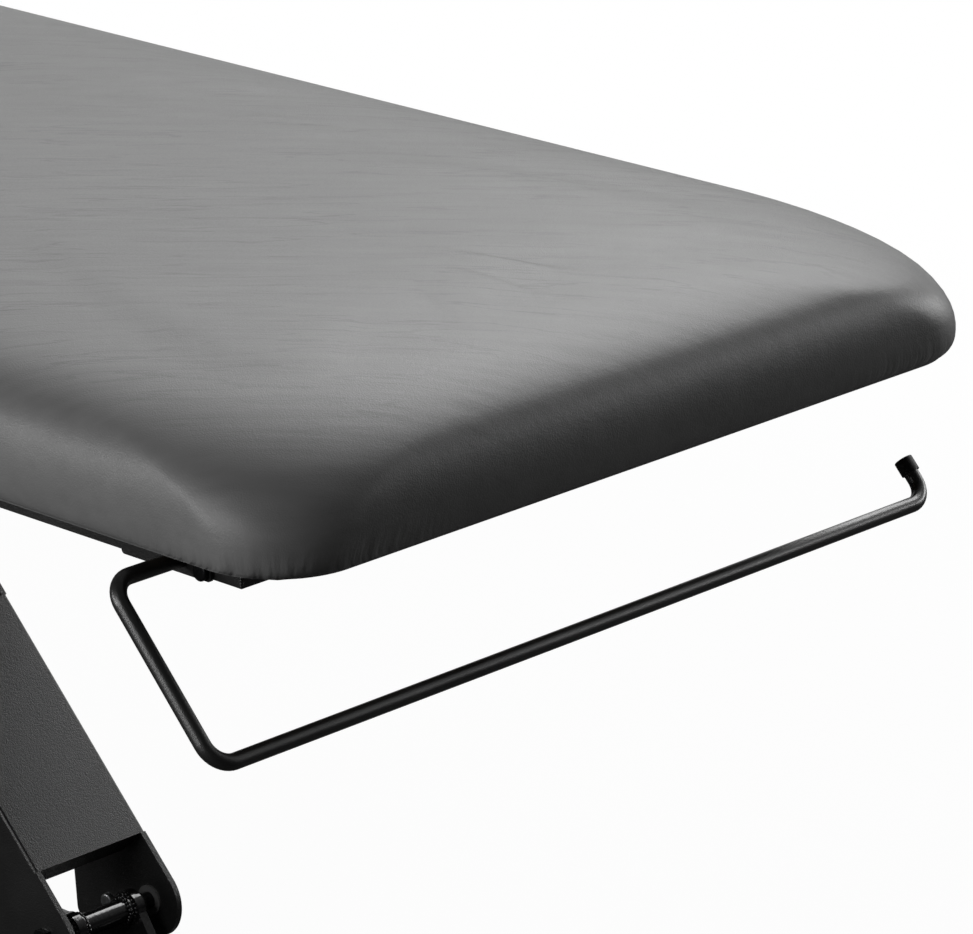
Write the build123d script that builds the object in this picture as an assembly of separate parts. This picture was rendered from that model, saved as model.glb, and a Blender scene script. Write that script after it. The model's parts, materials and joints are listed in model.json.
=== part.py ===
from build123d import *
import os
from math import acos, atan2, cos, degrees, hypot, radians, sin

# Electric massage table. A crowned cushion on a steel frame is carried by two parallel lift
# arms and pushed up by a screw actuator. A bent rod for a paper roll hangs under one end.
# Millimetres. X runs along the table, +X towards the paper roll. +Z is up.
# The origin is on the floor, under the middle of the whole outline.

# Cushion and its board
top_length = 1860.0
top_width = 760.0
pad_height = 102.0
board_thickness = 15.0
board_margin = 30.0
board_corner = 80.0
board_fit = 0.3

# Top frame, one size of tube
frame_tube = 30.0
frame_wall = 2.0
frame_side_margin = 55.0
frame_end_margin = 91.0
outer_member_inset = 279.0
member_offset = 230.0
plain_member_share = 0.3781

# Lift arms: pressed channels with rounded ends
arm_length = 325.0
arm_angle = 45.6
arm_lowest = 14.0
arm_width = 120.0
arm_sheet = 5.0
arm_bend = 3.0
arm_lobe = 32.0
arm_back = 48.0
web_setback = 47.0
lip_depth = 32.0
heel_start = 85.5
heel_along = 31.6
heel_depth = 92.3
heel_round = 10.0
taper_along = 50.0
arm_spacing = 540.0
front_axle_x = 332.0
axle_height = 120.0
boss_along = 23.6
boss_depth = 46.9
boss_radius = 7.0
boss_height = 4.0

# Axles, bushes and the tubes welded between the lugs
axle_radius = 7.0
axle_fit = 0.06
hole_fit = 0.1
bush_radius = 10.0
flange_radius = 12.5
flange_thickness = 2.0
pivot_tube_radius = 10.0
collar_radius = 12.0
collar_length = 5.0
head_radius = 11.0
head_height = 6.0
side_gap = 0.4
lug_thickness = 8.0
lug_inside = 28.0
lug_top_radius = 15.0
lug_foot_half = 55.0

# Lift head, which joins the arms to the top frame
head_drop = 40.0
head_bar_height = 50.0
head_lug_radius = 26.0
post_length = 50.0
post_wall = 2.5
post_inset = 45.0
saddle_length = 40.0
saddle_height = 30.0
saddle_wall = 2.5

# Base frame and its levelling feet
base_clearance = 25.0
base_tube = 30.0
base_rail_width = 30.0
base_wall = 2.5
base_rail_middle = 78.0
base_front_x = 560.0
base_rear_x = -420.0
beam_length = 600.0
beam_width = 60.0
cross_beam_width = 40.0
cross_beam_shift = 10.0
plate_thickness = 6.0
plate_half = 62.0
plate_side = 45.0
foot_inset = 30.0
foot_radius = 22.0
foot_height = 10.0
foot_round = 2.0
foot_gap = 6.0
stud_radius = 5.0
stud_reach = 28.0
stud_fit = 0.4
nut_radius = 9.0
plug_flange = 2.0
plug_depth = 12.0
plug_fit = 0.2

# Actuator
actuator_foot_x = -99.0
actuator_set_angle = 55.0
foot_rise = 18.0
head_hang = 46.78
eye_radius = 12.0
eye_half_width = 12.0
eye_clearance = 0.5
bracket_sheet = 6.0
bracket_round = 14.0
bracket_foot_half = 20.0
pin_radius = 6.0
gearbox_start = 16.0
gearbox_height = 36.0
gearbox_side = 27.0
gearbox_width = 50.0
gearbox_round = 8.0
motor_radius = 24.0
motor_offset = 50.0
motor_length = 112.0
motor_round = 5.0
tube_radius = 20.0
tube_wall = 3.0
rod_radius = 12.0
rod_wall = 3.5
rod_fit = 0.1
screw_radius = 6.0
screw_fit = 0.4
nut_length = 25.0
guide_length = 15.0
eye_neck = 22.0
neck_radius = 9.0
tube_end_gap = 6.0
nut_start_gap = 12.0
pin_head = 2.0
pin_overhang = 4.0

# Paper roll holder
holder_radius = 6.0
holder_bend = 18.0
holder_inset = 55.0
holder_drop = 20.0
holder_span = 756.0
holder_stand_off = 71.0
holder_slope = 147.5
holder_slope_angle = 46.7
holder_return = 34.0
holder_inside = 192.0
cap_radius = 7.5
cap_length = 12.0
cap_end = 2.0
cap_fit = 0.05
sleeve_radius = 9.5
sleeve_length = 96.0
bracket_length = 89.0
bracket_height = 27.0
bracket_thickness = 3.0
bracket_offset = 16.5
bolt_radius = 6.5
bolt_height = 4.0
bolt_offset = 20.0
knob_radius = 13.0
knob_height = 11.0
knob_scallop = 3.0
knob_scallops = 6
knob_stem_radius = 3.0
knob_gap = 4.0
knob_place = 48.0

# Control box, mains inlet and height switch
box_length = 150.0
box_height = 42.0
box_wall = 3.0
box_x = 100.0
box_lift = 2.0
box_lid = 3.0
box_round = 4.0
inlet_width = 28.0
inlet_height = 20.0
inlet_wall = 2.0
inlet_depth = 20.0
inlet_proud = 3.0
board_sheet = 1.6
board_rise = 12.0
switch_x = 250.0
switch_length = 92.0
switch_height = 28.0
switch_depth = 40.0
switch_round = 4.0
button_radius = 8.0
button_gap = 0.4
button_pitch = 36.0
button_proud = 4.0
button_length = 12.0
button_travel = 2.0
button_round = 1.0

# Screws that hold the board
board_screw_radius = 2.5
board_screw_head = 5.5
board_screw_head_height = 3.0
board_screw_bite = 10.0
board_screw_fit = 0.3
board_screw_row = 200.0

# Every cut runs past its face by this much
overrun = 1.0

# Heights and places that follow from the sizes above
arm_run = arm_length * cos(radians(arm_angle))
arm_rise = arm_length * sin(radians(arm_angle))
rear_axle_x = front_axle_x - arm_spacing
upper_front_x = front_axle_x - arm_run
upper_rear_x = rear_axle_x - arm_run
upper_height = axle_height + arm_rise
bar_bottom = upper_height + head_drop
bar_top = bar_bottom + head_bar_height
cheek_inside = arm_width / 2 - arm_sheet
lug_outside = lug_inside + lug_thickness
lug_middle = lug_inside + lug_thickness / 2
rail_outside = top_width / 2 - frame_side_margin
rail_inside = rail_outside - frame_tube
frame_end = top_length / 2 - frame_end_margin
holder_x = frame_end - holder_inset
holder_side = rail_outside + holder_stand_off
base_top = base_clearance + base_tube
base_middle = base_clearance + base_tube / 2
plate_top = base_top + plate_thickness
base_rail_inside = base_rail_middle - base_rail_width / 2

# The paper roll rod stands out past the cushion on one side, so the model is moved by half of
# that to keep the origin under the middle of the whole outline
outline_shift = (holder_side + holder_radius - top_width / 2) / 2

# The actuator's foot and head lie on one circle as wide as the arms are long, so the actuator
# tilts by exactly half the angle that the arms turn
actuator_foot_z = base_top + foot_rise
circle_x = actuator_foot_x + arm_length * cos(radians(actuator_set_angle))
circle_z = actuator_foot_z + arm_length * sin(radians(actuator_set_angle))
actuator_head_x = circle_x - arm_run
actuator_head_z = circle_z + arm_rise

# The top frame stands over the actuator's head, and the posts fill the height below it
frame_bottom = actuator_head_z + head_hang
frame_middle = frame_bottom + frame_tube / 2
pad_bottom = frame_bottom + frame_tube
holder_z = pad_bottom - holder_drop
saddle_bottom = frame_bottom - saddle_height
post_height = saddle_bottom - bar_bottom
post_places = (upper_front_x - post_inset, upper_rear_x + post_inset)


def actuator_length(angle):
    """Distance between the actuator's two pins when the arms stand at this angle."""
    run = circle_x - arm_length * cos(radians(angle)) - actuator_foot_x
    rise = circle_z + arm_length * sin(radians(angle)) - actuator_foot_z
    return hypot(run, rise)


length_at_rest = actuator_length(arm_angle)
length_shut = actuator_length(arm_lowest)
tube_top = length_shut - eye_neck - tube_end_gap
gearbox_top = gearbox_start + gearbox_height
rod_length = length_shut - gearbox_top - nut_start_gap

os.makedirs("parts", exist_ok=True)

# Helpers


def tube_x(length, width, height, wall):
    """Hollow rectangular tube along X, centred on the origin."""
    return Box(length, width, height) - Box(length + overrun, width - 2 * wall, height - 2 * wall)


def tube_y(length, width, height, wall):
    """Hollow rectangular tube along Y, centred on the origin."""
    return Box(width, length, height) - Box(width - 2 * wall, length + overrun, height - 2 * wall)


def rod_y(radius, start, end, x, z):
    """Round bar along Y from start to end, at X and Z."""
    return Pos(x, (start + end) / 2, z) * (Rot(90, 0, 0) * Cylinder(radius, abs(end - start)))


def ring_y(outer, inner, start, end, x, z):
    """Round tube along Y."""
    return rod_y(outer, start, end, x, z) - rod_y(inner, start - overrun, end + overrun, x, z)


def rod_z(radius, start, end, x, y):
    """Upright round bar from start to end."""
    return Pos(x, y, (start + end) / 2) * Cylinder(radius, end - start)


def plate_y(outline, middle, thickness):
    """Flat plate cut from an outline in X and Z, with its middle plane at this Y."""
    return Pos(0, middle, 0) * extrude(Plane.XZ * outline, thickness / 2, both=True)


def hexagon_y(radius, start, end, x, z):
    """Hexagonal head or nut along Y, with its corners at this radius."""
    outline = Pos(x, z) * RegularPolygon(radius, 6)
    return plate_y(outline, (start + end) / 2, abs(end - start))


def both_sides(shape):
    """The shape and its mirror image across the table's middle plane."""
    return [shape, mirror(shape, Plane.XZ)]


def save(name, *shapes):
    """Write one node, moved to the row's origin. Several shapes stay separate solids."""
    solids = [Pos(0, outline_shift, 0) * solid for shape in shapes for solid in shape.solids()]
    export_step(solids[0] if len(solids) == 1 else Compound(children=solids), f"parts/{name}.step")


def tube_plug(width, height, wall):
    """Plastic plug for a tube's end, lying along +X with its flange outside."""
    flange = Pos(plug_flange / 2, 0, 0) * Box(plug_flange, width, height)
    inside = 2 * (wall + plug_fit)
    body = Pos(-plug_depth / 2, 0, 0) * Box(plug_depth, width - inside, height - inside)
    return fillet(flange.edges().filter_by(Axis.X), wall) + body


# Cushion and board

# Each row is one outline of the cushion. It gives the outline's height, and how far it is drawn in
# at the long sides and at the ends, as shares of the cushion's height. The last value is its corner
# radius as a share of half its own width. The long sides roll over sooner than the ends, and the
# corners grow rounder towards the top
cushion_outline_shares = [
    (0.000, 0.039, 0.039, 0.176),
    (0.130, 0.010, 0.010, 0.158),
    (0.340, 0.000, 0.000, 0.174),
    (0.600, 0.039, 0.049, 0.287),
    (0.730, 0.127, 0.167, 0.422),
    (0.820, 0.255, 0.343, 0.520),
    (0.900, 0.461, 0.627, 0.589),
    (0.950, 0.745, 1.020, 0.658),
    (0.985, 1.176, 1.765, 0.781),
    (1.000, 1.716, 2.941, 0.902),
]


def cushion_outline(height_share, side_share, end_share, corner_share):
    length = top_length - 2 * end_share * pad_height
    width = top_width - 2 * side_share * pad_height
    outline = RectangleRounded(length, width, corner_share * width / 2)
    return Pos(0, 0, pad_bottom + height_share * pad_height) * outline


def board_outline(growth):
    margin = 2 * (board_margin - growth)
    return RectangleRounded(top_length - margin, top_width - margin, board_corner + growth)


def place_board(outline, thickness):
    return extrude(Pos(0, 0, pad_bottom) * outline, thickness)


member_places = [
    post_places[1] - plain_member_share * (post_places[1] + frame_end),
    circle_x - arm_run,
    upper_front_x + member_offset,
    frame_end - outer_member_inset,
]
screw_places = [(x, y) for x in member_places for y in (-board_screw_row, board_screw_row)]


def screw_holes(bottom, top):
    radius = board_screw_radius + board_screw_fit
    return [rod_z(radius, bottom - overrun, top, x, y) for x, y in screw_places]


cushion = loft([cushion_outline(*row) for row in cushion_outline_shares], ruled=True)
cushion -= place_board(board_outline(board_fit), board_thickness + board_fit)
save("cushion", cushion)

board = place_board(board_outline(0), board_thickness)
board -= screw_holes(pad_bottom, pad_bottom + board_screw_bite + board_screw_fit)
save("deck_board", board)


def board_screw(x, y):
    head = rod_z(board_screw_head, frame_bottom - board_screw_head_height, frame_bottom, x, y)
    shank = rod_z(board_screw_radius, frame_bottom, pad_bottom + board_screw_bite, x, y)
    return head + shank


save("board_screws", *[board_screw(x, y) for x, y in screw_places])

# Top frame, mitred at its four corners


def mitre_block(extra):
    """The near rail's space, with its ends cut at the corner's diagonal."""
    outline = Polygon(
        (-frame_end, -rail_outside),
        (frame_end, -rail_outside),
        (frame_end - frame_tube, -rail_inside),
        (frame_tube - frame_end, -rail_inside),
        align=None,
    )
    return Pos(0, 0, frame_bottom - extra) * extrude(outline, frame_tube + 2 * extra)


def near_rail():
    middle = frame_tube / 2 - rail_outside
    rail = Pos(0, middle, frame_middle) * tube_x(2 * frame_end, frame_tube, frame_tube, frame_wall)
    return rail & mitre_block(0)


def end_rail(side):
    middle = side * (frame_end - frame_tube / 2)
    rail = Pos(middle, 0, frame_middle) * tube_y(2 * rail_outside, frame_tube, frame_tube, frame_wall)
    return rail - both_sides(mitre_block(overrun))


def cross_member(x):
    member = Pos(x, 0, frame_middle) * tube_y(2 * rail_inside, frame_tube, frame_tube, frame_wall)
    return member - screw_holes(frame_bottom, pad_bottom + overrun)


holder_hole = rod_y(holder_radius + hole_fit, -top_width, 0, holder_x, holder_z)
save("side_rail_near", near_rail() - holder_hole)
save("side_rail_far", mirror(near_rail(), Plane.XZ))
save("end_rail_roll_end", end_rail(1))
save("end_rail_plain_end", end_rail(-1))
save("cross_members", *[cross_member(x) for x in member_places])

# Lift arms, drawn along their own length and then set at their angle


def arm_place(axle_x):
    run = cos(radians(arm_angle))
    rise = sin(radians(arm_angle))
    return Plane(origin=(axle_x, 0, axle_height), x_dir=(-run, 0, rise), z_dir=(rise, 0, run)).location


def touch_angle(middle, point, turn):
    """Direction from a lobe's middle to where a line from the point touches the lobe."""
    run = point[0] - middle
    return atan2(point[1], run) + turn * acos(arm_lobe / hypot(run, point[1]))


def on_lobe(middle, angle):
    return (middle + arm_lobe * cos(angle), arm_lobe * sin(angle))


def cheek_outline():
    heel = (heel_along, -heel_depth)
    taper = (arm_length - taper_along, -arm_back)
    front = radians(90)
    lower_touch = touch_angle(0, heel, -1)
    upper_touch = touch_angle(arm_length, taper, 1)
    lower_halfway = (lower_touch + front) / 2 + radians(180)
    upper_halfway = (upper_touch + front) / 2
    edges = [
        Line((0, arm_lobe), (arm_length, arm_lobe)),
        ThreePointArc(
            (arm_length, arm_lobe), on_lobe(arm_length, upper_halfway), on_lobe(arm_length, upper_touch)
        ),
        Line(on_lobe(arm_length, upper_touch), taper),
        Line(taper, (heel_start, -arm_back)),
        Line((heel_start, -arm_back), heel),
        Line(heel, on_lobe(0, lower_touch)),
        ThreePointArc(on_lobe(0, lower_touch), on_lobe(0, lower_halfway), (0, arm_lobe)),
    ]
    face = make_face(edges)
    return fillet(face.vertices().sort_by(Axis.Y)[0], heel_round)


def arm_channel():
    outline = cheek_outline()
    web_length = arm_length - 2 * web_setback
    web = Pos(arm_length / 2, 0, arm_lobe - arm_sheet / 2) * Box(web_length, arm_width, arm_sheet)
    channel = web
    for side in (1, -1):
        channel += plate_y(outline, side * (arm_width - arm_sheet) / 2, arm_sheet)
        lip_middle = arm_length / 2 + side * (web_length - arm_sheet) / 2
        lip = Box(arm_sheet, 2 * cheek_inside, lip_depth)
        channel += Pos(lip_middle, 0, arm_lobe - lip_depth / 2) * lip
    for side in (1, -1):
        corner = Pos(arm_length / 2, side * (arm_width - arm_bend) / 2, arm_lobe - arm_bend / 2)
        bend_middle = Pos(arm_length / 2, side * (arm_width / 2 - arm_bend), arm_lobe - arm_bend)
        corner_block = corner * Box(web_length, arm_bend, arm_bend)
        channel -= corner_block - bend_middle * (Rot(0, 90, 0) * Cylinder(arm_bend, web_length + overrun))
    for place in (0, arm_length):
        channel -= rod_y(bush_radius, -arm_width, arm_width, place, 0)
    return channel - rod_y(boss_radius / 2, -arm_width, arm_width, boss_along, -boss_depth)


def arm_bushes():
    bushes = []
    for place in (0, arm_length):
        bush = rod_y(bush_radius, cheek_inside, arm_width / 2, place, 0)
        bush += rod_y(flange_radius, cheek_inside - flange_thickness, cheek_inside, place, 0)
        bush -= rod_y(axle_radius + axle_fit, 0, arm_width, place, 0)
        bushes += both_sides(bush)
    return bushes


def arm_bosses():
    """Short bolts through the heel of each cheek, with a round head on the inside."""
    head = rod_y(boss_radius, cheek_inside - boss_height, cheek_inside, boss_along, -boss_depth)
    head = fillet(head.edges().filter_by(GeomType.CIRCLE).sort_by(Axis.Y)[0], boss_height / 2)
    shank = rod_y(boss_radius / 2, cheek_inside, arm_width / 2, boss_along, -boss_depth)
    return both_sides(head + shank)


for arm, axle_x in (("front_arm", front_axle_x), ("rear_arm", rear_axle_x)):
    place = arm_place(axle_x)
    save(f"{arm}_channel", place * arm_channel())
    save(f"{arm}_bushes", *[place * bush for bush in arm_bushes()])
    save(f"{arm}_bosses", *[place * boss for boss in arm_bosses()])

# Pivots: lugs, the tube welded through each pair, and the axle


def pivot_tube(x, z):
    """Tube through a pair of lugs, with a rounded collar on each side of each lug."""
    reach = lug_outside + collar_length
    tube = rod_y(pivot_tube_radius, -reach, reach, x, z)
    for side in (1, -1):
        for start in (lug_inside - collar_length, lug_outside):
            collar = rod_y(collar_radius, side * start, side * (start + collar_length), x, z)
            tube += fillet(collar.edges().filter_by(GeomType.CIRCLE), collar_length / 3)
    lug_gaps = [rod_y(collar_radius + overrun, s * lug_inside, s * lug_outside, x, z) for s in (1, -1)]
    tube = tube - lug_gaps + rod_y(pivot_tube_radius, -lug_outside, lug_outside, x, z)
    return tube - rod_y(axle_radius, -arm_width, arm_width, x, z)


def axle(x, z):
    """Bolt through one end of an arm, and its nut."""
    reach = arm_width / 2 + side_gap
    bolt = rod_y(axle_radius, -reach - head_height, reach, x, z)
    bolt += hexagon_y(head_radius, reach, reach + head_height, x, z)
    nut = hexagon_y(head_radius, -reach - head_height, -reach, x, z)
    return [bolt, nut - rod_y(axle_radius, -arm_width, 0, x, z)]


def lug_outline(x, z, foot_z, top_radius, foot_half):
    """Upright lug with a round top about X and Z, splayed down to its foot."""
    blade = Polygon(
        (x - foot_half, foot_z),
        (x + foot_half, foot_z),
        (x + top_radius, z),
        (x - top_radius, z),
        align=None,
    )
    return blade + Pos(x, z) * Circle(top_radius)


def pivot_lug(outline, x, z):
    """Plate between the arm's cheeks, bored for the pivot tube."""
    return plate_y(outline, lug_middle, lug_thickness) - rod_y(pivot_tube_radius, 0, arm_width, x, z)


def lower_lug(x):
    outline = lug_outline(x, axle_height, plate_top, lug_top_radius, lug_foot_half)
    return pivot_lug(outline, x, axle_height)


def upper_lug(x):
    outline = Pos(x, upper_height) * Circle(head_lug_radius)
    outline += Pos(x, upper_height + head_drop / 2) * Rectangle(2 * head_lug_radius, head_drop)
    return pivot_lug(outline, x, upper_height)


axle_places = (front_axle_x, rear_axle_x)
upper_places = (upper_front_x, upper_rear_x)
save("lower_lugs", *[lug for x in axle_places for lug in both_sides(lower_lug(x))])
save("lower_pivot_tubes", *[pivot_tube(x, axle_height) for x in axle_places])
save("lower_axles", *[piece for x in axle_places for piece in axle(x, axle_height)])
save("head_lugs", *[lug for x in upper_places for lug in both_sides(upper_lug(x))])
save("upper_pivot_tubes", *[pivot_tube(x, upper_height) for x in upper_places])
save("upper_axles", *[piece for x in upper_places for piece in axle(x, upper_height)])

# Lift head: two bars over the upper pivots, and a post and a saddle at each end

head_start = upper_rear_x - head_lug_radius
head_end = upper_front_x + head_lug_radius
head_bar = Pos((head_start + head_end) / 2, lug_middle, (bar_bottom + bar_top) / 2) * Box(
    head_end - head_start, lug_thickness, head_bar_height
)
save("head_bars", *both_sides(head_bar))


def head_post(x):
    outline = Rectangle(post_length, 2 * lug_inside)
    outline -= Rectangle(post_length - 2 * post_wall, 2 * (lug_inside - post_wall))
    return extrude(Pos(x, 0, bar_bottom) * outline, post_height)


def saddle(x):
    middle = saddle_bottom + saddle_height / 2
    return Pos(x, 0, middle) * tube_y(2 * rail_outside, saddle_length, saddle_height, saddle_wall)


save("head_posts", *[head_post(x) for x in post_places])
save("head_saddles", *[saddle(x) for x in post_places])

# Base frame

beam_places = (base_front_x, base_rear_x)
foot_y = beam_length / 2 - foot_inset
rail_front = base_front_x - beam_width / 2
rail_rear = base_rear_x + beam_width / 2


def base_rail(side):
    middle = (rail_front + rail_rear) / 2
    tube = tube_x(rail_front - rail_rear, base_rail_width, base_tube, base_wall)
    return Pos(middle, side * base_rail_middle, base_middle) * tube


def foot_beam(x):
    beam = Pos(x, 0, base_middle) * tube_y(beam_length, beam_width, base_tube, base_wall)
    for side in (1, -1):
        beam -= rod_z(stud_radius + stud_fit, base_clearance - overrun, base_middle, x, side * foot_y)
    return beam


def cross_beam(x):
    return Pos(x, 0, base_middle) * tube_y(2 * base_rail_inside, cross_beam_width, base_tube, base_wall)


save("base_rail_near", base_rail(-1))
save("base_rail_far", base_rail(1))
save("foot_beam_roll_end", foot_beam(base_front_x))
save("foot_beam_plain_end", foot_beam(base_rear_x))
cross_places = [x + cross_beam_shift for x in axle_places] + [actuator_foot_x]
save("base_cross_beams", *[cross_beam(x) for x in cross_places])

lug_plate = Box(2 * plate_half, 2 * plate_side, plate_thickness)
save("lug_plates", *[Pos(x, 0, base_top + plate_thickness / 2) * lug_plate for x in axle_places])

beam_plugs = []
for x in beam_places:
    for side in (1, -1):
        plug = Rot(0, 0, side * 90) * tube_plug(beam_width, base_tube, base_wall)
        beam_plugs.append(Pos(x, side * beam_length / 2, base_middle) * plug)
save("beam_end_plugs", *beam_plugs)


def levelling_foot(x, y):
    """Round foot moulded on its threaded stud."""
    pad = rod_z(foot_radius, 0, foot_height, x, y)
    pad = fillet(pad.edges().filter_by(GeomType.CIRCLE), foot_round)
    return pad + rod_z(stud_radius, foot_height, foot_height + stud_reach, x, y)


def lock_nut(x, y):
    bottom = foot_height + foot_gap
    nut = Pos(x, y, bottom) * extrude(RegularPolygon(nut_radius, 6), base_clearance - bottom)
    return nut - rod_z(stud_radius + stud_fit, 0, base_top, x, y)


foot_places = {
    "foot_roll_near": (base_front_x, -foot_y),
    "foot_roll_far": (base_front_x, foot_y),
    "foot_plain_near": (base_rear_x, -foot_y),
    "foot_plain_far": (base_rear_x, foot_y),
}
for name, (x, y) in foot_places.items():
    save(name, levelling_foot(x, y))
save("foot_lock_nuts", *[lock_nut(x, y) for x, y in foot_places.values()])

# Actuator brackets

bracket_middle = eye_half_width + eye_clearance + bracket_sheet / 2
bracket_outside = bracket_middle + bracket_sheet / 2


def bracket_plates(outline, x, z):
    plate = plate_y(outline, bracket_middle, bracket_sheet) - rod_y(pin_radius, 0, arm_width, x, z)
    return both_sides(plate)


def bracket_pin(x, z):
    """Pin through a bracket, with a thin head at each end."""
    bar = rod_y(pin_radius, -bracket_outside, bracket_outside, x, z)
    head = rod_y(pin_radius + pin_head, bracket_outside, bracket_outside + pin_overhang, x, z)
    return bar + both_sides(head)


foot_lug = lug_outline(actuator_foot_x, actuator_foot_z, base_top, bracket_round, bracket_foot_half)
head_lug = lug_outline(actuator_head_x, actuator_head_z, frame_bottom, bracket_round, bracket_round)
save("actuator_foot_lugs", *bracket_plates(foot_lug, actuator_foot_x, actuator_foot_z))
save("actuator_head_lugs", *bracket_plates(head_lug, actuator_head_x, actuator_head_z))
save("actuator_foot_pin", bracket_pin(actuator_foot_x, actuator_foot_z))
save("actuator_head_pin", bracket_pin(actuator_head_x, actuator_head_z))

# Actuator, drawn upright from its foot pin and then tilted

tilt = degrees(atan2(actuator_head_x - actuator_foot_x, actuator_head_z - actuator_foot_z))
actuator_place = Pos(actuator_foot_x, 0, actuator_foot_z) * Rot(0, tilt, 0)


def eye(z):
    """Round eye for a pin along Y."""
    return rod_y(eye_radius, -eye_half_width, eye_half_width, 0, z)


def eye_bore(z):
    return rod_y(pin_radius + axle_fit, -gearbox_width, gearbox_width, 0, z)


def gearbox():
    length = gearbox_side + motor_offset + motor_radius
    middle = (length / 2 - gearbox_side, 0, gearbox_start + gearbox_height / 2)
    body = Pos(*middle) * Box(length, gearbox_width, gearbox_height)
    body = fillet(body.edges().filter_by(Axis.Z), gearbox_round)
    neck = Pos(0, 0, gearbox_start / 2) * Box(2 * eye_radius, 2 * eye_half_width, gearbox_start)
    screw_hole = rod_z(screw_radius, gearbox_top - gearbox_height / 2, gearbox_top + overrun, 0, 0)
    return body + neck + eye(0) - eye_bore(0) - screw_hole


def motor():
    can = rod_z(motor_radius, gearbox_top, gearbox_top + motor_length, motor_offset, 0)
    return fillet(can.edges().filter_by(GeomType.CIRCLE).sort_by(Axis.Z)[-1], motor_round)


def outer_tube():
    shell = rod_z(tube_radius, gearbox_top, tube_top, 0, 0)
    return shell - rod_z(tube_radius - tube_wall, gearbox_top - overrun, tube_top + overrun, 0, 0)


def guide_ring():
    ring = rod_z(tube_radius - tube_wall, tube_top - guide_length, tube_top, 0, 0)
    return ring - rod_z(rod_radius + rod_fit, tube_top - 2 * guide_length, tube_top + overrun, 0, 0)


def lead_screw():
    return rod_z(screw_radius, gearbox_top - gearbox_height / 2, tube_top - guide_length, 0, 0)


rod_bottom = length_at_rest - rod_length


def inner_rod():
    top = length_at_rest - eye_neck
    bottom = rod_bottom + nut_length
    rod = rod_z(rod_radius, bottom, top, 0, 0)
    return rod - rod_z(rod_radius - rod_wall, bottom - overrun, top - rod_wall, 0, 0)


def drive_nut():
    top = rod_bottom + nut_length
    nut = rod_z(tube_radius - tube_wall - screw_fit, rod_bottom, top, 0, 0)
    return nut - rod_z(screw_radius + screw_fit, rod_bottom - overrun, top + overrun, 0, 0)


def rod_eye():
    neck = rod_z(neck_radius, length_at_rest - eye_neck, length_at_rest, 0, 0)
    return neck + eye(length_at_rest) - eye_bore(length_at_rest)


save("actuator_gearbox", actuator_place * gearbox())
save("actuator_motor", actuator_place * motor())
save("actuator_tube", actuator_place * outer_tube())
save("actuator_guide_ring", actuator_place * guide_ring())
save("actuator_lead_screw", actuator_place * lead_screw())
save("actuator_rod", actuator_place * inner_rod())
save("actuator_drive_nut", actuator_place * drive_nut())
save("actuator_rod_eye", actuator_place * rod_eye())

# Paper roll holder

slope = radians(holder_slope_angle)
bar_x = holder_x + holder_slope * cos(slope)
bar_z = holder_z - holder_slope * sin(slope)
far_y = holder_span - holder_side
return_x = bar_x - holder_return * cos(slope)
return_z = bar_z + holder_return * sin(slope)
rod_path = FilletPolyline(
    (holder_x, holder_inside - holder_side, holder_z),
    (holder_x, -holder_side, holder_z),
    (bar_x, -holder_side, bar_z),
    (bar_x, far_y, bar_z),
    (return_x, far_y, return_z),
    radius=holder_bend,
)
rod_section = Plane(origin=rod_path @ 0, z_dir=rod_path % 0) * Circle(holder_radius)
save("roll_holder_rod", sweep(rod_section, path=rod_path))

cap = Pos(0, 0, cap_end - cap_length / 2) * Cylinder(cap_radius, cap_length)
cap = fillet(cap.edges().filter_by(GeomType.CIRCLE).sort_by(Axis.Z)[-1], cap_end / 2)
cap -= Pos(0, 0, -cap_length / 2) * Cylinder(holder_radius + cap_fit, cap_length)
cap_place = Plane(origin=(return_x, far_y, return_z), z_dir=(-cos(slope), 0, sin(slope))).location
save("holder_end_cap", cap_place * cap)

sleeve_start = -rail_inside
knob_y = sleeve_start + knob_place
sleeve = ring_y(
    sleeve_radius, holder_radius + hole_fit, sleeve_start, sleeve_start + sleeve_length, holder_x, holder_z
)
sleeve -= rod_z(knob_stem_radius + hole_fit, holder_z - 2 * sleeve_radius, holder_z, holder_x, knob_y)
save("holder_sleeve", sleeve)

bracket_middle_x = holder_x - bracket_offset
bracket_bottom = frame_bottom - bracket_thickness / 2
bracket_outline = Pos(bracket_middle_x, bracket_bottom + bracket_height / 2) * RectangleRounded(
    bracket_length, bracket_height, bracket_thickness
)
bracket = plate_y(bracket_outline, -rail_outside - bracket_thickness / 2, bracket_thickness)
bolt_x = holder_x + bolt_offset
bolt_z = bracket_bottom + bolt_radius
bolt_hole = bolt_radius / 2
bracket -= rod_y(holder_radius + hole_fit, -top_width, 0, holder_x, holder_z)
bracket -= rod_y(bolt_hole, -top_width, 0, bolt_x, bolt_z)
save("holder_bracket", bracket)

# Round-headed bolt that holds the bracket to the rail
bolt_seat = -rail_outside - bracket_thickness
bolt = rod_y(bolt_radius, bolt_seat - bolt_height, bolt_seat, bolt_x, bolt_z)
bolt = fillet(bolt.edges().filter_by(GeomType.CIRCLE).sort_by(Axis.Y)[0], bolt_height / 3)
save("holder_bolt", bolt + rod_y(bolt_hole, bolt_seat, -rail_outside, bolt_x, bolt_z))

# Knob whose stem clamps the rod through the sleeve
knob_top = holder_z - sleeve_radius - knob_gap
knob_outline = Circle(knob_radius)
for notch in range(knob_scallops):
    turn = radians(360 * notch / knob_scallops)
    knob_outline -= Pos(knob_radius * cos(turn), knob_radius * sin(turn)) * Circle(knob_scallop)
knob = Pos(holder_x, knob_y, knob_top - knob_height) * extrude(knob_outline, knob_height)
knob += rod_z(knob_stem_radius, knob_top, holder_z - holder_radius - hole_fit, holder_x, knob_y)
save("holder_clamp_knob", knob)

# Control box between the base rails, with a mains inlet

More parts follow.
